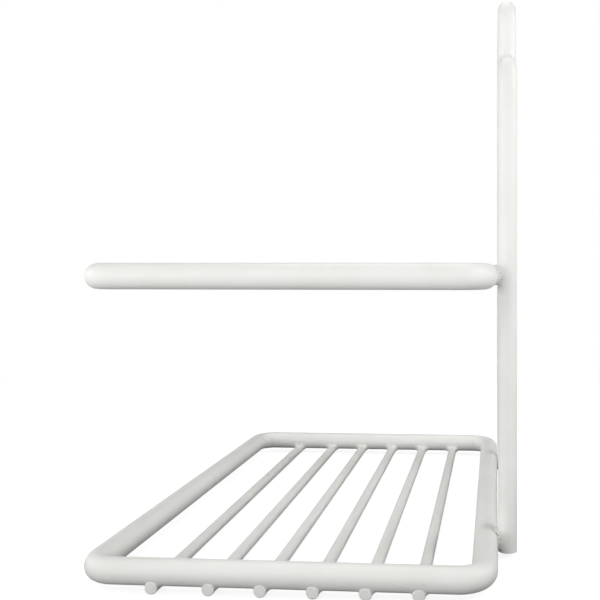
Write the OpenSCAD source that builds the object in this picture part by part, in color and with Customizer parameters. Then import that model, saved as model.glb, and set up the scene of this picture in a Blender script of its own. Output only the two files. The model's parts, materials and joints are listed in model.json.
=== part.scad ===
// Shower stool: a welded, powder-coated tube frame.
// Two equal rounded-rectangle rings stand one above the other in front of an upside-down U hoop.
// The hoop's legs step inwards at its shoulders, so its top is narrower than its foot.
// The lower ring carries six round slats, let into the underside of its side tubes.
// X runs across the width, -Y is the front, the hoop is at +Y, and the slats stand on the plane Z = 0.

/* [Rings] */
// Outside width of both rings, side to side
ring_w = 600; // [500:10:700]
// Outside depth of both rings, front to back
ring_d = 400; // [360:10:480]
// Outside diameter of the ring tube
ring_tube_d = 25; // [22:1:28]
// Bend radius of the ring corners, on the tube's centre line
ring_bend_r = 25; // [24:1:60]
// Height from the seat ring to the arm ring, centre line to centre line
ring_spacing = 278; // [200:2:320]

/* [Hoop] */
// Height of the hoop's top above the plane that the slats stand on
hoop_h = 602; // [500:2:700]
// Distance between the hoop's two legs, centre line to centre line
hoop_w = 342; // [260:2:420]
// Outside diameter of the hoop tube
hoop_tube_d = 20; // [16:1:22]
// Height of the shoulders, where the legs step inwards, on the tube's centre line
hoop_shoulder_h = 520; // [400:5:540]
// Bend radius of the shoulders and the upper corners, on the tube's centre line
hoop_bend_r = 20; // [18:1:30]

/* [Slats] */
// Diameter of the slat rods
slat_d = 12; // [10:1:14]
// Distance from one slat to the next
slat_pitch = 49; // [40:1:50]
// Distance from the front slat to the second one
slat_front_gap = 54; // [40:1:60]
// How far the middle of the third and fourth slats stands back from the middle of the ring
slat_shift = 6; // [0:1:8]
// How far the slats' centre lines lie below the seat ring's centre line
slat_drop = 11.5; // [9:0.5:13]
// How far each slat reaches past the centre line of the side tube
slat_overhang = 11.5; // [8:0.5:12]
// Chamfer round each cut end
slat_chamfer = 1.2; // [0.4:0.2:1.4]

/* [Tube walls] */
// Wall thickness of both tubes
wall = 1.5; // [1.2:0.1:2]

/* [Welds] */
// Size of the beads that join the rings to the hoop
hoop_bead = 2.2; // [1.6:0.2:3]
// Root gap between a ring and a hoop leg, filled by the bead
hoop_root_gap = 0.3; // [0.1:0.1:0.5]
// Size of the fillets that join the slats to the seat ring
slat_bead = 2.4; // [1:0.2:3]
// Root gap at the butt joint that closes each ring
butt_gap = 2; // [1:0.5:3]

/* [Hidden] */
$fn = 64;
slat_count = 6;
slat_numbers = [1:slat_count];

ring_tube_r = ring_tube_d / 2;
ring_bore_r = ring_tube_r - wall;
hoop_tube_r = hoop_tube_d / 2;
hoop_bore_r = hoop_tube_r - wall;
slat_r = slat_d / 2;

// Centre-line size of both rings
ring_line_w = ring_w - ring_tube_d;
ring_line_d = ring_d - ring_tube_d;

// The hoop stands behind the rings, a root gap away from their back tubes
hoop_setback = ring_tube_r + hoop_tube_r + hoop_root_gap;
overall_d = ring_d / 2 + ring_line_d / 2 + hoop_setback + hoop_tube_r;
ring_y = ring_d / 2 - overall_d / 2;
ring_back_y = ring_y + ring_line_d / 2;
hoop_y = ring_back_y + hoop_setback;

// The frame stands on its slats; the hoop's legs end level with the underside of the seat ring
seat_z = slat_drop + slat_r;
foot_z = seat_z - ring_tube_r;
arm_z = seat_z + ring_spacing;
hoop_top_z = hoop_h - hoop_tube_r;

// Each shoulder is two quarter bends in a row, so it steps inwards by two bend radii
hoop_neck_w = hoop_w - 4 * hoop_bend_r;

slat_z = seat_z - slat_drop;
slat_len = ring_line_w + 2 * slat_overhang;

// Welds reach this far round a slat towards its cut end, past the side tube's centre line
slat_weld_reach = 3;
sleeve_len = 40;
plug_len = 14;
plug_floor = 3;
plug_wall = 2;
plug_slack = 0.4;
plug_rib_h = 1.5;
// Cutting shapes run past what they cut by this much
over = 1;

coat = [0.92, 0.93, 0.91];
steel = [0.62, 0.63, 0.65];
plug_white = [0.86, 0.87, 0.86];

// Rod along X, centred
module rod_x(len, r) {
    rotate([0, 90, 0])
        cylinder(h = len, r = r, center = true);
}

// Quarter bend in the XY plane, from the X axis round to the Y axis
module quarter_bend(bend_r, r) {
    rotate_extrude(angle = 90)
        translate([bend_r, 0])
            circle(r = r);
}

// Solid round bar bent into a closed rounded rectangle, sizes on its centre line
module closed_loop(w, d, bend_r, r) {
    for (side = [-1, 1]) {
        translate([0, side * d / 2, 0])
            rod_x(w - 2 * bend_r, r);
        translate([side * w / 2, 0, 0])
            rotate([90, 0, 0])
                cylinder(h = d - 2 * bend_r, r = r, center = true);
    }
    corners = [[1, 1, 0], [-1, 1, 90], [-1, -1, 180], [1, -1, 270]];
    for (c = corners)
        translate([c[0] * (w / 2 - bend_r), c[1] * (d / 2 - bend_r), 0])
            rotate([0, 0, c[2]])
                quarter_bend(bend_r, r);
}

// Solid round bar bent into the hoop's shape in the XZ plane, its legs cut off at cut_z
module shouldered_u(cut_z, r) {
    bend_r = hoop_bend_r;
    translate([0, 0, hoop_top_z])
        rod_x(hoop_neck_w - 2 * bend_r, r);
    for (side = [-1, 1]) {
        turn = 90 - side * 90;
        translate([side * hoop_w / 2, 0, cut_z])
            cylinder(h = hoop_shoulder_h - bend_r - cut_z, r = r);
        translate([side * (hoop_w / 2 - bend_r), 0, hoop_shoulder_h - bend_r])
            rotate([90, 0, turn])
                quarter_bend(bend_r, r);
        translate([side * (hoop_w / 2 - bend_r), 0, hoop_shoulder_h + bend_r])
            rotate([-90, 0, 180 - turn])
                quarter_bend(bend_r, r);
        translate([side * hoop_neck_w / 2, 0, hoop_shoulder_h + bend_r])
            cylinder(h = hoop_top_z - hoop_shoulder_h - 2 * bend_r, r = r);
        translate([side * (hoop_neck_w / 2 - bend_r), 0, hoop_top_z - bend_r])
            rotate([90, 0, turn])
                quarter_bend(bend_r, r);
    }
}

// The second to the last slat are evenly spaced; the front one has its own gap
function even_slat_y(i) = ring_y + slat_shift + (i - (slat_count + 1) / 2) * slat_pitch;
function slat_y(i) = i == 1 ? even_slat_y(2) - slat_front_gap : even_slat_y(i);

// Ring tube: one bent tube whose two ends meet, a root gap apart, in the middle of the back
module ring_tube(z) {
    translate([0, ring_y, z])
        difference() {
            closed_loop(ring_line_w, ring_line_d, ring_bend_r, ring_tube_r);
            closed_loop(ring_line_w, ring_line_d, ring_bend_r, ring_bore_r);
            translate([0, ring_line_d / 2, 0])
                rod_x(butt_gap, ring_tube_r + over);
        }
}

module arm_ring() {
    color(coat)
        ring_tube(arm_z);
}

// The seat ring's side tubes are notched from below to take the slats
module seat_ring() {
    color(coat)
        difference() {
            ring_tube(seat_z);
            for (i = slat_numbers, side = [-1, 1])
                translate([side * ring_line_w / 2, slat_y(i), slat_z])
                    rod_x(2 * ring_tube_r + 2 * over, slat_r);
        }
}

// Backing sleeve inside a butt joint
module sleeve(z) {
    color(steel)
        translate([0, ring_back_y, z])
            difference() {
                rod_x(sleeve_len, ring_bore_r);
                rod_x(sleeve_len + 2 * over, ring_bore_r - wall);
            }
}

// Filler metal of a butt joint, ground flush with the tube
module butt_weld(z) {
    color(coat)
        translate([0, ring_back_y, z])
            difference() {
                rod_x(butt_gap, ring_tube_r);
                rod_x(butt_gap + 2 * over, ring_bore_r);
            }
}

module back_hoop() {
    color(coat)
        translate([0, hoop_y, 0])
            difference() {
                shouldered_u(foot_z, hoop_tube_r);
                shouldered_u(foot_z - over, hoop_bore_r);
            }
}

// Push-in plug, flush with the tube's cut end: a cup with one sealing rib
module hoop_plug(side) {
    color(plug_white)
        translate([side * hoop_w / 2, hoop_y, foot_z])
            difference() {
                union() {
                    cylinder(h = plug_floor, r = hoop_bore_r);
                    cylinder(h = plug_len, r = hoop_bore_r - plug_slack);
                    translate([0, 0, plug_len - 2 * plug_rib_h])
                        cylinder(h = plug_rib_h, r = hoop_bore_r);
                }
                translate([0, 0, plug_floor])
                    cylinder(h = plug_len, r = hoop_bore_r - plug_wall);
            }
}

// Solid rod with chamfered ends
module slat(i) {
    color(coat)
        translate([0, slat_y(i), slat_z]) {
            rod_x(slat_len - 2 * slat_chamfer, slat_r);
            for (side = [-1, 1])
                translate([side * (slat_len / 2 - slat_chamfer), 0, 0])
                    rotate([0, side * 90, 0])
                        cylinder(h = slat_chamfer, r1 = slat_r, r2 = slat_r - slat_chamfer);
        }
}

// Fillets where the slats enter one side tube: what lies close to both the rod and the tube
module slat_welds(side) {
    color(coat)
        for (i = slat_numbers)
            translate([side * ring_line_w / 2, slat_y(i), seat_z])
                difference() {
                    intersection() {
                        rotate([90, 0, 0])
                            cylinder(h = ring_tube_d, r = ring_tube_r + slat_bead, center = true);
                        translate([side * (slat_weld_reach - ring_tube_r), 0, -slat_drop])
                            rod_x(2 * ring_tube_r, slat_r + slat_bead);
                    }
                    rotate([90, 0, 0])
                        cylinder(h = ring_tube_d + 2 * over, r = ring_tube_r, center = true);
                    translate([0, 0, -slat_drop])
                        rod_x(2 * ring_tube_d, slat_r);
                }
}

// Bead between a ring's back tube and a hoop leg: what lies close to both
module hoop_weld(side, z) {
    color(coat)
        translate([side * hoop_w / 2, ring_back_y, z])
            difference() {
                intersection() {
                    rod_x(2 * hoop_tube_d, ring_tube_r + hoop_bead);
                    translate([0, hoop_setback, 0])
                        cylinder(h = 2 * ring_tube_d, r = hoop_tube_r + hoop_bead, center = true);
                }
                rod_x(2 * hoop_tube_d + 2 * over, ring_tube_r);
                translate([0, hoop_setback, 0])
                    cylinder(h = 2 * ring_tube_d + 2 * over, r = hoop_tube_r, center = true);
            }
}

back_hoop();
hoop_plug(-1);  // hoop_plug_left
hoop_plug(1);  // hoop_plug_right
seat_ring();
sleeve(seat_z);  // seat_ring_sleeve
butt_weld(seat_z);  // seat_ring_butt_weld
arm_ring();
sleeve(arm_z);  // arm_ring_sleeve
butt_weld(arm_z);  // arm_ring_butt_weld
for (i = slat_numbers)
    slat(i);
slat_welds(-1);  // slat_welds_left
slat_welds(1);  // slat_welds_right
hoop_weld(-1, seat_z);  // seat_weld_left
hoop_weld(1, seat_z);  // seat_weld_right
hoop_weld(-1, arm_z);  // arm_weld_left
hoop_weld(1, arm_z);  // arm_weld_right
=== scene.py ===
"""Looks for the shower stool: a powder-coated frame of two rings, six slats and a back hoop.

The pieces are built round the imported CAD, in metres, and take their places from its nodes' boxes."""

import json
import math

import bmesh
import bpy
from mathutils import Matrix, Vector, noise


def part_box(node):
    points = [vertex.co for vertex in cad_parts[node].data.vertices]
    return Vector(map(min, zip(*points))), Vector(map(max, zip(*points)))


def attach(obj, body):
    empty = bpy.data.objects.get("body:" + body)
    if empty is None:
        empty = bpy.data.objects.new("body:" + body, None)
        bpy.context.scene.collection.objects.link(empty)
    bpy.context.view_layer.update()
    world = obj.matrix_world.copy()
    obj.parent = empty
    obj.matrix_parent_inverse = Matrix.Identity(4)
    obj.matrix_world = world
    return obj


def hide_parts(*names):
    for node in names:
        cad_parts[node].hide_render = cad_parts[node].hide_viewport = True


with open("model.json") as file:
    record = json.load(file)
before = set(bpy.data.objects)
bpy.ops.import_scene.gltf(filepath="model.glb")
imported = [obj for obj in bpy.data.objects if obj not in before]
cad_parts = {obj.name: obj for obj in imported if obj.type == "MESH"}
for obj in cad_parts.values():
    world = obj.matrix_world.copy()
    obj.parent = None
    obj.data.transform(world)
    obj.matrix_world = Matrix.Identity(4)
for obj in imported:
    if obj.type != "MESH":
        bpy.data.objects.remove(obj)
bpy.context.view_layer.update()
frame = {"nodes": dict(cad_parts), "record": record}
MM = 0.001
QUARTER_TURN, FULL_TURN = math.pi / 2, math.pi * 2


# ---------------------------------------------------------------- where things are
def middle(node):
    low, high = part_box(node)
    return (low + high) / 2


def span(node):
    low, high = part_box(node)
    return high - low


ring_r = span("seat_ring").z / 2
hoop_r = span("back_hoop").y / 2
slat_r = span("slat_1").z / 2
seat_z = middle("seat_ring").z
arm_z = middle("arm_ring").z
slat_z = middle("slat_1").z
ring_back_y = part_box("seat_ring")[1].y - ring_r
hoop_y = middle("back_hoop").y
leg_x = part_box("back_hoop")[1].x - hoop_r
side_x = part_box("seat_ring")[1].x - ring_r
slat_names = ["slat_%d" % i for i in range(1, 7)]


# ---------------------------------------------------------------- materials
def new_material(name):
    mat = bpy.data.materials.new(name)
    mat.use_nodes = True
    tree = mat.node_tree
    return mat, tree, tree.nodes["Principled BSDF"]


def add(tree, kind, **values):
    """New node. Each value goes to the property of that name, or else to the input."""
    node = tree.nodes.new(kind)
    for key, value in values.items():
        if hasattr(node, key):
            setattr(node, key, value)
        else:
            node.inputs[key].default_value = value
    return node


def place_on_object(tree):
    return add(tree, "ShaderNodeTexCoord").outputs["Object"]


def noise_at(tree, place, scale, detail=3.0, rough=0.5, warp=0.0):
    node = add(tree, "ShaderNodeTexNoise", Scale=scale, Detail=detail, Roughness=rough, Distortion=warp)
    tree.links.new(place, node.inputs["Vector"])
    return node.outputs["Fac"]


def cells_at(tree, place, scale):
    node = add(tree, "ShaderNodeTexVoronoi", Scale=scale)
    tree.links.new(place, node.inputs["Vector"])
    return node.outputs["Distance"]


def ramp(tree, source, stops, smooth=False):
    """Colour ramp fed by source; stops are (position, grey or colour)."""
    node = tree.nodes.new("ShaderNodeValToRGB")
    if smooth:
        node.color_ramp.interpolation = "EASE"
    items = node.color_ramp.elements
    while len(items) < len(stops):
        items.new(0.5)
    for item, (at, value) in zip(items, stops):
        item.position = at
        item.color = (value, value, value, 1) if isinstance(value, (int, float)) else (*value, 1)
    tree.links.new(source, node.inputs[0])
    return node.outputs[0]


def maths(tree, operation, a, b):
    """Math node on two sockets or numbers."""
    node = add(tree, "ShaderNodeMath", operation=operation)
    for slot, value in zip(node.inputs, (a, b)):
        if isinstance(value, (int, float)):
            slot.default_value = value
        else:
            tree.links.new(value, slot)
    return node.outputs[0]


def mix(tree, factor, a, b):
    """Mix of two colours or sockets; factor is a socket."""
    node = add(tree, "ShaderNodeMix", data_type="RGBA")
    tree.links.new(factor, node.inputs[0])
    for slot, value in ((node.inputs[6], a), (node.inputs[7], b)):
        if isinstance(value, tuple):
            slot.default_value = (*value, 1)
        else:
            tree.links.new(value, slot)
    return node.outputs[2]


def bumped(tree, shader, layers):
    """Bump nodes in a row; layers are (height socket, strength, distance in metres)."""
    last = None
    for height, strength, distance in layers:
        node = add(tree, "ShaderNodeBump", Strength=strength, Distance=distance)
        tree.links.new(height, node.inputs["Height"])
        if last:
            tree.links.new(last, node.inputs["Normal"])
        last = node.outputs[0]
    tree.links.new(last, shader.inputs["Normal"])


def shaded(tint, *factors):
    """The tint times one factor, or times a factor for each of red, green and blue."""
    return tuple(c * f for c, f in zip(tint, factors * 3 if len(factors) == 1 else factors))


# the last two greys are painted shade: inside pinholes, and in the hollows between ripples
NIB_GREY, PINHOLE_SHADE_GREY, HOLLOW_SHADE_GREY = (0.50, 0.49, 0.45), (0.13, 0.125, 0.11), (0.56, 0.55, 0.50)


def powder_coat(name, tint, dust_and_shade=1.0, grain=1.0, pits=0.0):
    """Satin powder coat: orange peel, thickness mottle, nibs and rubbed patches; on welds, pinholes too,
    painted dark as their shade, and painted shade in the hollows.
    """
    mat, tree, shader = new_material(name)
    link = tree.links.new
    place = place_on_object(tree)
    mottle = noise_at(tree, place, 14.0, 4.0, 0.55, 0.4)
    cloud = noise_at(tree, place, 55.0, 4.0, 0.6, 0.2)
    peel = noise_at(tree, place, 620.0, 2.0, 0.45)
    fine = noise_at(tree, place, 2300.0, 2.0, 0.5)
    pale, deep = shaded(tint, 1.018), shaded(tint, 0.955, 0.96, 0.945)
    colour = mix(tree, ramp(tree, mottle, [(0.32, 0.0), (0.68, 1.0)]), deep, pale)
    colour = mix(tree, ramp(tree, cloud, [(0.45, 0.0), (0.75, 0.35)]), colour, shaded(tint, 0.975))
    # rare grey nibs of overspray and dust held in the coat
    nib = ramp(tree, cells_at(tree, place, 95.0), [(0.03, 0.55 * dust_and_shade), (0.055, 0.0)])
    chosen = ramp(tree, noise_at(tree, place, 37.0, 1.0), [(0.60, 0.0), (0.66, 1.0)])
    nib = maths(tree, "MULTIPLY", nib, chosen)
    colour = mix(tree, nib, colour, NIB_GREY)
    # where hands and cloths rub, the coat is a touch paler and glossier
    rubbed = ramp(tree, noise_at(tree, place, 23.0, 5.0, 0.65, 0.8), [(0.50, 0.0), (0.66, 1.0)])
    colour = mix(tree, maths(tree, "MULTIPLY", rubbed, 0.25), colour, pale)
    layers = [(peel, 0.22 * grain, 0.35 * MM), (fine, 0.10 * grain, 0.12 * MM), (nib, 0.35, 0.3 * MM)]
    if pits:
        # dark pinhole spots: holes in the coat, painted dark as the shade inside them
        hole = ramp(tree, cells_at(tree, place, 430.0), [(0.10, 0.0), (0.19, 1.0)])
        few = ramp(tree, noise_at(tree, place, 150.0, 1.0), [(0.50, 0.0), (0.60, 1.0)])
        open_at = maths(tree, "MULTIPLY", maths(tree, "SUBTRACT", 1.0, hole), few)
        colour = mix(tree, maths(tree, "MULTIPLY", open_at, pits), colour, PINHOLE_SHADE_GREY)
        # painted shade in the hollows between ripples, where the pointiness is low
        hollow = add(tree, "ShaderNodeNewGeometry").outputs["Pointiness"]
        sunk = ramp(tree, hollow, [(0.40, 1.0), (0.485, 0.0)])
        colour = mix(tree, maths(tree, "MULTIPLY", sunk, 0.40 * dust_and_shade), colour, HOLLOW_SHADE_GREY)
        closed = maths(tree, "SUBTRACT", 1.0, open_at)
        layers.append((closed, 0.9, 0.5 * MM))
        layers.append((noise_at(tree, place, 260.0, 3.0, 0.6), 0.35, 0.5 * MM))
    link(colour, shader.inputs["Base Color"])
    gloss = ramp(tree, cloud, [(0.3, 0.40), (0.7, 0.50)])
    gloss = maths(tree, "ADD", gloss, maths(tree, "MULTIPLY", nib, 0.3))
    gloss = maths(tree, "SUBTRACT", gloss, maths(tree, "MULTIPLY", rubbed, 0.07))
    link(gloss, shader.inputs["Roughness"])
    bumped(tree, shader, layers)
    shader.inputs["IOR"].default_value = 1.48
    shader.inputs["Specular IOR Level"].default_value = 0.42
    return mat


def bare_and_shaded_hole():
    """Inside of a pinhole, which the powder didn't reach: dark oxide with a little rust, painted near-black
    for the shade deep in the hole.
    """
    mat, tree, shader = new_material("pinhole")
    speck = noise_at(tree, place_on_object(tree), 1700.0, 3.0, 0.6)
    tone = ramp(tree, speck, [(0.35, (0.030, 0.027, 0.024)), (0.7, (0.085, 0.060, 0.042))])
    tree.links.new(tone, shader.inputs["Base Color"])
    tree.links.new(ramp(tree, speck, [(0.3, 0.65), (0.7, 0.9)]), shader.inputs["Roughness"])
    bumped(tree, shader, [(speck, 0.4, 0.2 * MM)])
    return mat


def drawn_steel():
    """Bare drawn steel with a film of oil: long streaks and freckles of light rust."""
    mat, tree, shader = new_material("drawn_steel")
    link = tree.links.new
    place = place_on_object(tree)
    stretch = add(tree, "ShaderNodeMapping", Scale=(12.0, 900.0, 900.0))
    link(place, stretch.inputs["Vector"])
    streak = noise_at(tree, stretch.outputs[0], 1.0, 5.0, 0.6)
    freckle = noise_at(tree, place, 180.0, 4.0, 0.65)
    rust = ramp(tree, freckle, [(0.62, 0.0), (0.72, 0.7)])
    metal = ramp(tree, streak, [(0.3, (0.42, 0.43, 0.44)), (0.7, (0.60, 0.61, 0.62))])
    link(mix(tree, rust, metal, (0.27, 0.15, 0.09)), shader.inputs["Base Color"])
    link(maths(tree, "SUBTRACT", 1.0, rust), shader.inputs["Metallic"])
    link(ramp(tree, streak, [(0.3, 0.28), (0.7, 0.46)]), shader.inputs["Roughness"])
    bumped(tree, shader, [(streak, 0.25, 0.2 * MM), (freckle, 0.15, 0.2 * MM)])
    return mat


def plug_plastic():
    """Matt moulded polyethylene: spark-eroded grain, grey scuffs from the floor."""
    mat, tree, shader = new_material("plug_plastic")
    link = tree.links.new
    place = place_on_object(tree)
    grain = noise_at(tree, place, 1500.0, 3.0, 0.6)
    scuff = noise_at(tree, place, 210.0, 6.0, 0.7, 1.2)
    cloud = noise_at(tree, place, 60.0)
    base = ramp(tree, cloud, [(0.3, (0.62, 0.63, 0.60)), (0.7, (0.70, 0.71, 0.68))])
    mark = ramp(tree, scuff, [(0.56, 0.0), (0.66, 0.45)])
    link(mix(tree, mark, base, (0.33, 0.32, 0.30)), shader.inputs["Base Color"])
    link(ramp(tree, scuff, [(0.4, 0.52), (0.7, 0.72)]), shader.inputs["Roughness"])
    bumped(tree, shader, [(grain, 0.3, 0.1 * MM), (scuff, 0.2, 0.2 * MM)])
    shader.inputs["Subsurface Weight"].default_value = 0.05
    shader.inputs["Subsurface Scale"].default_value = 2 * MM
    return mat


OFF_WHITE = (0.800, 0.806, 0.782)
FINISHES = {
    "coated_tube": powder_coat("coated_tube", OFF_WHITE),
    "coated_rod": powder_coat("coated_rod", shaded(OFF_WHITE, 0.985), dust_and_shade=1.2, grain=1.1),
    "coated_weld": powder_coat("coated_weld", shaded(OFF_WHITE, 0.975), dust_and_shade=1.5, grain=1.6, pits=0.75),
    "bare_steel": drawn_steel(),
    "plug_plastic": plug_plastic(),
}
# the pinholes' dark look: bare metal, painted near-black for the shade in each hole
pinhole = bare_and_shaded_hole()

for part in frame["record"]["subparts"]:
    node_mesh = frame["nodes"][part["node"]].data
    node_mesh.materials.clear()
    node_mesh.materials.append(FINISHES[part["material_slot"]])
    for face in node_mesh.polygons:
        face.material_index = 0


# ---------------------------------------------------------------- pieces
# on a crisp piece, the least angle between two faces that stays sharp
CRISP_ANGLE = math.radians(50)


def built(name, skins, slot, stand_for, pitted=(), crisp=False):
    """One piece made of skins. A skin is (rows, closed): each row is a closed loop of points,
    closed joins the last row to the first, otherwise both ends are shut. Faces whose middle lies
    within reach of a pit, given as (centre, radius), get the pinhole's dark look: bare metal, painted
    near-black as the shade in the hole. A crisp piece keeps its cut edges sharp."""
    mesh = bmesh.new()
    for rows, closed in skins:
        grid = [[mesh.verts.new(p) for p in row] for row in rows]
        count = len(rows[0])
        for i in range(len(grid) if closed else len(grid) - 1):
            here, there = grid[i], grid[(i + 1) % len(grid)]
            for j in range(count):
                k = (j + 1) % count
                mesh.faces.new((here[j], here[k], there[k], there[j]))
        if not closed:
            mesh.faces.new(grid[0][::-1])
            mesh.faces.new(grid[-1])
    bmesh.ops.recalc_face_normals(mesh, faces=mesh.faces)
    for face in mesh.faces:
        face.smooth = True
        where = face.calc_center_median()
        if any((where - centre).length < radius for centre, radius in pitted):
            face.material_index = 1
    data = bpy.data.meshes.new(name)
    mesh.to_mesh(data)
    mesh.free()
    data.materials.append(FINISHES[slot])
    if pitted:
        data.materials.append(pinhole)
    if crisp:
        data.set_sharp_from_angle(angle=CRISP_ANGLE)
    obj = bpy.data.objects.new(name, data)
    bpy.context.scene.collection.objects.link(obj)
    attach(obj, "root")
    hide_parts(stand_for)


# ---------------------------------------------------------------- tubes and rods
SIDES, BEND_STEPS = 96, 16
RING_BEND, HOOP_BEND = 25 * MM, 20 * MM
# the level of the hoop's shoulders, and how far each one steps in
SHOULDER_Z, SHOULDER_STEP = 520 * MM, 2 * HOOP_BEND
# how much a bend flattens the tube, on the outside of the bend and on its inside
FLAT_OUTSIDE, FLAT_INSIDE = 0.035, 0.010
# stations closer together than this are one
SAME_POINT = 0.01 * MM


def bent_line(corners, bend):
    """Stations (point, direction, how far into a bend from 0 to 1, towards the bend's centre) along the
    line through the corners, all of them right angles rounded to one bend radius."""
    ahead = (corners[1] - corners[0]).normalized()
    stations = [(corners[0], ahead, 0.0, ahead)]
    for before, here, after in zip(corners, corners[1:], corners[2:]):
        a, b = (here - before).normalized(), (after - here).normalized()
        centre = here + (b - a) * bend
        for i in range(BEND_STEPS + 1):
            turn = i / BEND_STEPS * QUARTER_TURN
            outward = a * math.sin(turn) - b * math.cos(turn)
            ahead = a * math.cos(turn) + b * math.sin(turn)
            point = centre + outward * bend
            if (point - stations[-1][0]).length > SAME_POINT:
                stations.append((point, ahead, math.sin(2 * turn), -outward))
    ahead = (corners[-1] - corners[-2]).normalized()
    return stations + [(corners[-1], ahead, 0.0, ahead)]


def tube_rows(stations, across, radius):
    """Rings of points round a flat bent line; across is the direction square to the line's plane."""
    rows = []
    for point, ahead, bent, inward in stations:
        sideways = ahead.cross(across)
        row = []
        for j in range(SIDES):
            angle = j / SIDES * FULL_TURN
            spoke = sideways * math.cos(angle) + across * math.sin(angle)
            reach = spoke.dot(inward)
            flat = FLAT_INSIDE if reach > 0 else FLAT_OUTSIDE
            row.append(point + (spoke - inward * reach * flat * bent) * radius)
        rows.append(row)
    return rows


def bent_tube(name, corners, bend, across, radius, bore, stand_for):
    """Hollow tube, open at both ends."""
    stations = bent_line(corners, bend)
    outside, inside = tube_rows(stations, across, radius), tube_rows(stations, across, bore)
    built(name, [(outside + inside[::-1], True)], "coated_tube", stand_for, crisp=True)


def ring(word):
    """One bent ring, from one face of its butt joint in the middle of the back round to the other."""
    z = middle(word + "_ring").z
    joint, bore = span(word + "_ring_butt_weld").x / 2, span(word + "_ring_sleeve").z / 2
    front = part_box(word + "_ring")[0].y + ring_r
    half = [(joint, ring_back_y), (side_x, ring_back_y), (side_x, front)]
    line = half + [(-x, y) for x, y in half[::-1]]
    corners = [Vector((x, y, z)) for x, y in line]
    bent_tube(word + "_ring_tube", corners, RING_BEND, Vector((0, 0, 1)), ring_r, bore, word + "_ring")


def hoop():
    """The back hoop, from one foot up over both shoulders to the other foot."""
    low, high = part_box("back_hoop")
    top, neck = high.z - hoop_r, leg_x - SHOULDER_STEP
    half = [(leg_x, low.z), (leg_x, SHOULDER_Z), (neck, SHOULDER_Z), (neck, top)]
    line = half + [(-x, z) for x, z in half[::-1]]
    corners = [Vector((x, hoop_y, z)) for x, z in line]
    bore = span("hoop_plug_left").x / 2
    bent_tube("back_hoop_tube", corners, HOOP_BEND, Vector((0, 1, 0)), hoop_r, bore, "back_hoop")


def rod(slat, cut_round=1.2 * MM, steps=5):
    """Solid slat whose cut ends are rounded over."""
    y, half = middle(slat).y, span(slat).x / 2
    profile = []
    for i in range(steps + 1):
        turn = i / steps * QUARTER_TURN
        profile.append((half - cut_round * (1 - math.cos(turn)), slat_r - cut_round * (1 - math.sin(turn))))
    profile += [(-x, r) for x, r in profile[::-1]]
    turns = [j / SIDES * FULL_TURN for j in range(SIDES)]
    rows = []
    for x, r in profile:
        rows.append([Vector((x, y + r * math.cos(a), slat_z + r * math.sin(a))) for a in turns])
    built(slat + "_rod", [(rows, False)], "coated_rod", slat, crisp=True)


ring("seat")
ring("arm")
hoop()
for slat in slat_names:
    rod(slat)


# ---------------------------------------------------------------- beads
# how uneven the puddles of a bead are, and where in each one its crest lies
UNEVEN, PUDDLE_CREST = 0.35, 0.38


def section(toe_a, toe_b, control, root, steps):
    """Outline of a bead: a curve from toe to toe by way of control, shut through the root."""
    points = []
    for i in range(steps + 1):
        t = i / steps
        points.append(toe_a * (1 - t) ** 2 + control * 2 * t * (1 - t) + toe_b * t ** 2)
    return points + [toe_b.lerp(root, 0.5), root, toe_a.lerp(root, 0.5)]


def ripple(turn, count, seed):
    """Height of the bead along its run, about 0 to 1: overlapping puddles, a little uneven."""
    phase = turn * count + UNEVEN * noise.noise(Vector((turn * 9.0, seed, 0.0)))
    wave = phase - math.floor(phase)
    return 0.5 - abs(wave - PUDDLE_CREST) * 0.9 + UNEVEN * noise.noise(Vector((turn * 23.0, seed, 4.0)))


# ---------------------------------------------------------------- rings to hoop
BEAD_STEPS, SKIN_STEPS, BEAD_RIPPLES = 216, 14, 15
# half the width and height of the bead's inner edge, and how far its toes lie outside that
INNER_U, INNER_W = 7.2 * MM, 8.6 * MM
TOE_U, TOE_W = 2.3 * MM, 2.2 * MM
# how far the toes lie under the tubes' surfaces, and the root's place as a part of the inner edge
TOE_SUNK, ROOT_PART = 0.10 * MM, 0.6
# how deep the crest's control point lies, and how much of that a full ripple fills
CREST_DEPTH, RIPPLE_FILL = 1.25 * MM, 0.95 * MM
# how far the bead's reach wanders, as a part of it, and the size of the circle on which it reads the noise
WANDER, WANDER_CIRCLE = 0.06, 1.4
# the inner edge's power: 2 would be an ellipse, and more is closer to an oblong
OBLONG = 3
# no toe goes further round a tube than this part of its radius
ROUND_LIMIT = 0.985
# the pinhole's painted dark, bare metal plus painted shade, reaches this far from its floor, as a part of
# its depth
SHADED_REACH = 0.8


def clamped(value, limit):
    return max(-limit, min(limit, value))


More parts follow.
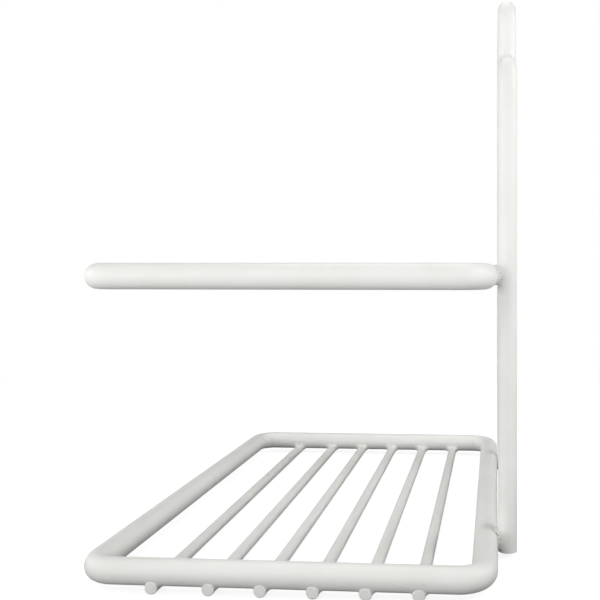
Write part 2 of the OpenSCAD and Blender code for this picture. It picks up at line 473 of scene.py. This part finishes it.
def hoop_bead(side, z, seed):
    """Bead all round the place where a ring's back tube touches a hoop leg."""
    x = side * leg_x

    def on_leg(u, w, sunk=0.0):
        u = clamped(u, ROUND_LIMIT * hoop_r)
        return Vector((x + u, hoop_y - math.sqrt(hoop_r ** 2 - u ** 2) + sunk, z + w))

    def on_tube(u, w, sunk=0.0):
        w = clamped(w, ROUND_LIMIT * ring_r)
        return Vector((x + u, ring_back_y + math.sqrt(ring_r ** 2 - w ** 2) - sunk, z + w))

    rows = []
    for i in range(BEAD_STEPS):
        turn = i / BEAD_STEPS
        angle = turn * FULL_TURN
        out = Vector((math.cos(angle), 0, math.sin(angle)))
        wave = ripple(turn, BEAD_RIPPLES, seed)
        reach = 1 + WANDER * noise.noise(Vector((out.x * WANDER_CIRCLE, out.z * WANDER_CIRCLE, seed)))
        reach *= (abs(out.x) ** OBLONG + abs(out.z) ** OBLONG) ** (-1 / OBLONG)
        half_u, half_w = INNER_U * reach, INNER_W * reach
        toe_u, toe_w = (half_u + TOE_U) * out.x, (half_w + TOE_W) * out.z
        toe_leg, toe_tube = on_leg(toe_u, toe_w, TOE_SUNK), on_tube(toe_u, toe_w, TOE_SUNK)
        crest = (toe_leg + toe_tube) / 2 - out * (CREST_DEPTH - RIPPLE_FILL * wave)
        u, w = half_u * out.x * ROOT_PART, half_w * out.z * ROOT_PART
        root = (on_leg(u, w) + on_tube(u, w)) / 2
        rows.append(section(toe_leg, toe_tube, crest, root, SKIN_STEPS))
    return rows


def dent(rows, spots, x, z):
    """Pushes pinholes into a bead, or raises drops where the depth is below 0, and returns the pinholes as
    (centre, radius). Each spot is (degrees round the bead, place across it from 0 at the leg to 1 at the
    tube, radius and depth in mm)."""
    pits = []
    for degrees, across, radius, depth in spots:
        row = rows[round(degrees / 360 * BEAD_STEPS) % BEAD_STEPS]
        centre = row[round(across * SKIN_STEPS)].copy()
        inward = (Vector((x, centre.y, z)) - centre).normalized()
        radius, depth = radius * MM, depth * MM
        for line in rows:
            for j in range(1, SKIN_STEPS):
                away = (line[j] - centre).length / radius
                if away < 1:
                    line[j] = line[j] + inward * depth * (1 - away ** 2) ** 0.5
        if depth > 0:
            pits.append((centre + inward * depth, depth * SHADED_REACH))
    return pits


# the arm ring's beads are porous on their outer flank, the seat ring's have an undercut above
POROUS = [(348, 0.36, 0.65, 0.9), (334, 0.26, 0.65, 0.9), (320, 0.10, 0.90, 1.3), (341, 0.07, 0.60, 0.8),
          (328, 0.05, 0.60, 0.8), (14, 0.55, 0.50, 0.6), (354, 0.08, 0.80, -0.50), (24, 0.35, 0.60, -0.25)]
UNDERCUT = [(56, 0.90, 0.55, 0.9), (50, 0.86, 0.55, 1.0), (44, 0.82, 0.60, 1.0), (38, 0.76, 0.60, 1.0),
            (32, 0.70, 0.55, 0.9), (12, 0.60, 0.55, 0.8), (28, 0.25, 0.40, 0.5), (6, 0.22, 0.45, 0.5),
            (340, 0.55, 0.45, 0.6), (352, 0.20, 0.35, 0.4), (52, 0.45, 0.80, -0.40)]


def left_marks(marks):
    """Every second mark, on the flank that the left bead turns outwards."""
    return [((160 - degrees) % 360, *rest) for degrees, *rest in marks[::2]]


SIDE_WORDS = ((-1, "left"), (1, "right"))
# each bead is uneven in its own way: its seed is this much on from the last one's
HOOP_SEED_STEP, SLAT_SEED_STEP = 3.7, 2.3
seed = 1.0
for z, place, marks in ((seat_z, "seat", UNDERCUT), (arm_z, "arm", POROUS)):
    for side, word in SIDE_WORDS:
        rows = hoop_bead(side, z, seed)
        pits = dent(rows, marks if side > 0 else left_marks(marks), side * leg_x, z)
        name, weld = "%s_weld_bead_%s" % (place, word), "%s_weld_%s" % (place, word)
        built(name, [(rows, True)], "coated_weld", weld, pits)
        seed += HOOP_SEED_STEP


# ---------------------------------------------------------------- slats to seat ring
FILLET_STEPS, FILLET_SKIN_STEPS, FILLET_RIPPLES = 44, 8, 9
# where the fillet starts, outwards of the tube's middle, as a part of the tube's radius
FILLET_START = 0.70
# the fillet's reach without the swell and what the swell adds; the power moves the swell up the flank
FILLET_REACH, FILLET_SWELL, SWELL_POWER = 2.4 * MM, 3.6 * MM, 1.6
# the reach at the cut end, as a part of the full one, and the part of the run where it grows
FILLET_TIP, TIP_RUN = 0.35, 0.12
# how much further it runs along the slat than up the tube
ALONG_SLAT = 1.15
# how far the toes and the root lie under the surfaces
FILLET_TOE_SUNK, FILLET_ROOT_SUNK = 0.08 * MM, 0.8 * MM
# how far the crest's control point lies outside the corner, as a part of the reach, and what a ripple adds
CREST_LIFT, RIPPLE_LIFT = 0.20, 0.16


def slat_fillet(side, slat, seed):
    """Fillet along the line where a slat goes into the underside of a side tube: from close to the
    slat's cut end, up one flank, over the slat inside the ring, and back along the other flank."""
    y, drop = middle(slat).y, seat_z - slat_z
    first, last = -math.asin(FILLET_START), math.acos((drop - slat_r) / ring_r)
    rows = []
    for i in range(2 * FILLET_STEPS + 1):
        flank = 1 if i <= FILLET_STEPS else -1
        along = min(i, 2 * FILLET_STEPS - i) / FILLET_STEPS
        turn = i / (2 * FILLET_STEPS)
        angle = first + (last - first) * math.sin(along * QUARTER_TURN)
        inward, rise = ring_r * math.sin(angle), -ring_r * math.cos(angle)
        lift = clamped((rise + drop) / slat_r, 1.0)
        aside = flank * math.sqrt(1 - lift ** 2)
        point = Vector((side * (side_x - inward), y + slat_r * aside, seat_z + rise))
        from_tube = Vector((-side * inward / ring_r, 0, rise / ring_r))
        from_slat = Vector((0, aside, lift))
        up_tube = (from_slat - from_tube * from_slat.dot(from_tube)).normalized()
        up_slat = (from_tube - from_slat * from_tube.dot(from_slat)).normalized()
        # widest on the slat's flank, drawn in over the slat and towards its cut end
        size = FILLET_REACH + FILLET_SWELL * math.sin(math.pi * along ** SWELL_POWER)
        size *= FILLET_TIP + (1 - FILLET_TIP) * min(1.0, along / TIP_RUN)
        size *= 1 + 0.10 * noise.noise(Vector((turn * 7.0, seed, 2.0)))
        toe_tube, toe_slat = point + up_tube * size, point + up_slat * size * ALONG_SLAT
        ray = Vector((toe_tube.x - side * side_x, 0, toe_tube.z - seat_z)).normalized()
        ray *= ring_r - FILLET_TOE_SUNK
        toe_tube = Vector((side * side_x + ray.x, toe_tube.y, seat_z + ray.z))
        ray = Vector((0, toe_slat.y - y, toe_slat.z - slat_z)).normalized()
        ray *= slat_r - FILLET_TOE_SUNK
        toe_slat = Vector((toe_slat.x, y + ray.y, slat_z + ray.z))
        lifted = CREST_LIFT + RIPPLE_LIFT * ripple(turn, FILLET_RIPPLES, seed)
        crest = point + (up_tube + up_slat) * size * lifted
        root = point - (from_tube + from_slat) * FILLET_ROOT_SUNK
        rows.append(section(toe_tube, toe_slat, crest, root, FILLET_SKIN_STEPS))
    return rows


for side, word in SIDE_WORDS:
    skins = []
    for slat in slat_names:
        skins.append((slat_fillet(side, slat, seed), False))
        seed += SLAT_SEED_STEP
    built("slat_weld_beads_%s" % word, skins, "coated_weld", "slat_welds_%s" % word)


# ---------------------------------------------------------------- stage
FLOOR_RADIUS, FLOOR_DROP = 14.0, 0.4 * MM


def floor_material():
    """Pale matt floor that turns plain white away from the object. What it throws back at the object
    is dimmer than what the camera sees, most of all right under the object."""
    mat, tree = new_material("studio_floor")[:2]
    tree.nodes.clear()
    link = tree.links.new
    away = add(tree, "ShaderNodeVectorMath", operation="LENGTH")
    link(place_on_object(tree), away.inputs[0])
    # the ramps' positions run from 0 to 1 over 2 metres
    away = maths(tree, "MULTIPLY", away.outputs["Value"], 0.5)
    matt = tree.nodes.new("ShaderNodeBsdfDiffuse")
    link(ramp(tree, away, [(0.20, 0.34), (0.75, 0.0)], True), matt.inputs["Color"])
    glow = tree.nodes.new("ShaderNodeEmission")
    link(ramp(tree, away, [(0.20, 0.83), (0.75, 1.0)], True), glow.inputs["Strength"])
    both = tree.nodes.new("ShaderNodeAddShader")
    link(matt.outputs[0], both.inputs[0])
    link(glow.outputs[0], both.inputs[1])
    bounce = tree.nodes.new("ShaderNodeEmission")
    link(ramp(tree, away, [(0.17, 0.08), (0.32, 0.60)], True), bounce.inputs["Strength"])
    out = tree.nodes.new("ShaderNodeOutputMaterial")
    link(for_camera(tree, both.outputs[0], bounce.outputs[0]), out.inputs["Surface"])
    return mat


def for_camera(tree, seen, cast):
    """Shader that the camera sees as one thing and the object gets its light from as another."""
    choose = tree.nodes.new("ShaderNodeMixShader")
    path = tree.nodes.new("ShaderNodeLightPath")
    tree.links.new(path.outputs["Is Camera Ray"], choose.inputs[0])
    tree.links.new(cast, choose.inputs[1])
    tree.links.new(seen, choose.inputs[2])
    return choose.outputs[0]


def make_floor():
    mesh = bmesh.new()
    bmesh.ops.create_circle(mesh, cap_ends=True, segments=96, radius=FLOOR_RADIUS)
    data = bpy.data.meshes.new("floor")
    mesh.to_mesh(data)
    mesh.free()
    data.materials.append(floor_material())
    obj = bpy.data.objects.new("floor", data)
    obj.location.z = -FLOOR_DROP
    bpy.context.scene.collection.objects.link(obj)


def make_world():
    """White to the camera; to the object, a ring of soft light round the horizon that fades upwards."""
    world = bpy.data.worlds.new("studio")
    world.use_nodes = True
    tree = world.node_tree
    link = tree.links.new
    glow = tree.nodes["Background"]
    split = tree.nodes.new("ShaderNodeSeparateXYZ")
    link(add(tree, "ShaderNodeTexCoord").outputs["Generated"], split.inputs[0])
    link(ramp(tree, split.outputs["Z"], [(0.0, 1.0), (0.5, 0.0)]), glow.inputs["Color"])
    glow.inputs["Strength"].default_value = 0.98
    white = add(tree, "ShaderNodeBackground", Color=(1, 1, 1, 1))
    link(for_camera(tree, white.outputs[0], glow.outputs[0]), tree.nodes["World Output"].inputs["Surface"])
    bpy.context.scene.world = world


# name, place, diameter in metres and power in watts of each soft round light
LIGHTS = [
    ("key_high", (2.2, -0.4, 1.7), 1.6, 15),
    ("key_low", (2.6, -0.3, 0.5), 1.6, 13),
    ("key_left", (2.0, -1.7, 0.5), 1.4, 12),
    ("key_right", (2.0, 1.7, 0.5), 1.4, 8),
    ("left", (0.2, -2.3, 0.9), 1.8, 19),
    ("right", (0.2, 2.1, 1.4), 1.6, 27),
    ("top", (-0.8, 0, 2.4), 1.8, 23),
]
AIM_AT = (0, 0, 0.25)


def area_light(name, place, size, power):
    lamp = bpy.data.lights.new(name, "AREA")
    lamp.shape = "DISK"
    lamp.size = size
    lamp.energy = power
    obj = bpy.data.objects.new(name, lamp)
    obj.location = place
    aim = Vector(AIM_AT) - Vector(place)
    obj.rotation_mode = "QUATERNION"
    obj.rotation_quaternion = aim.to_track_quat("-Z", "Y")
    bpy.context.scene.collection.objects.link(obj)


make_floor()
make_world()
for light in LIGHTS:
    area_light(*light)


# ---------------------------------------------------------------- camera
# level, out from the right side tube, just behind the back tubes, and turned a little to the front
SENSOR_MM, LENS_MM = 36.0, 48.72
FROM_SIDE_TUBE, BEHIND_BACK_TUBE, OVER_SEAT_RING = 0.7430, 0.0094, 0.2883
TURNED = math.radians(4.21)
SHIFT = (-0.225, -0.0580)


def make_camera():
    camera = bpy.data.cameras.new("camera")
    camera.sensor_fit = "HORIZONTAL"
    camera.sensor_width = SENSOR_MM
    camera.lens = LENS_MM
    camera.shift_x, camera.shift_y = SHIFT
    camera.clip_start, camera.clip_end = 0.02, 60
    obj = bpy.data.objects.new("camera", camera)
    obj.location = (side_x + FROM_SIDE_TUBE, ring_back_y + BEHIND_BACK_TUBE, seat_z + OVER_SEAT_RING)
    obj.rotation_euler = (QUARTER_TURN, 0, QUARTER_TURN + TURNED)
    bpy.context.scene.collection.objects.link(obj)
    bpy.context.scene.camera = obj


make_camera()
bpy.context.scene.view_settings.view_transform = "Standard"
bpy.context.scene.view_settings.look = "None"
